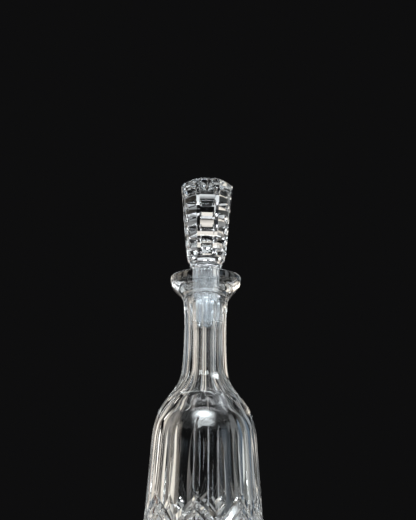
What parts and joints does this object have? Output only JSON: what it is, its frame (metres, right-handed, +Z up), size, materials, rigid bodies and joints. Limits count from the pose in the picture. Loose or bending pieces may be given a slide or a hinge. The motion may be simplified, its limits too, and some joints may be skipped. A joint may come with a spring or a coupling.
{
  "type": "cut crystal decanter",
  "caption": "Cut crystal decanter with a flared lip, fluted neck, wedge and diamond cut body, and a lift-out octagonal glass stopper.",
  "frame": {"origin": "centre of the resting ring under the foot", "axes": "+Z up along the bore and the stopper, -Y the front"},
  "size_m": [0.1, 0.1, 0.328],
  "materials": {
    "vessel_crystal": "polished clear lead crystal",
    "stopper_crystal": "polished clear lead crystal, ground matt on the plug"
  },
  "bodies": {
    "vessel": {"decanter_body": "vessel_crystal"},
    "stopper_piece": {"stopper": "stopper_crystal"}
  },
  "joints": [
    {"name": "stopper_lift", "type": "slide", "parent": "vessel", "child": "stopper_piece", "axis": [0, 0, 1], "range_m": [0, 0.055]}
  ]
}
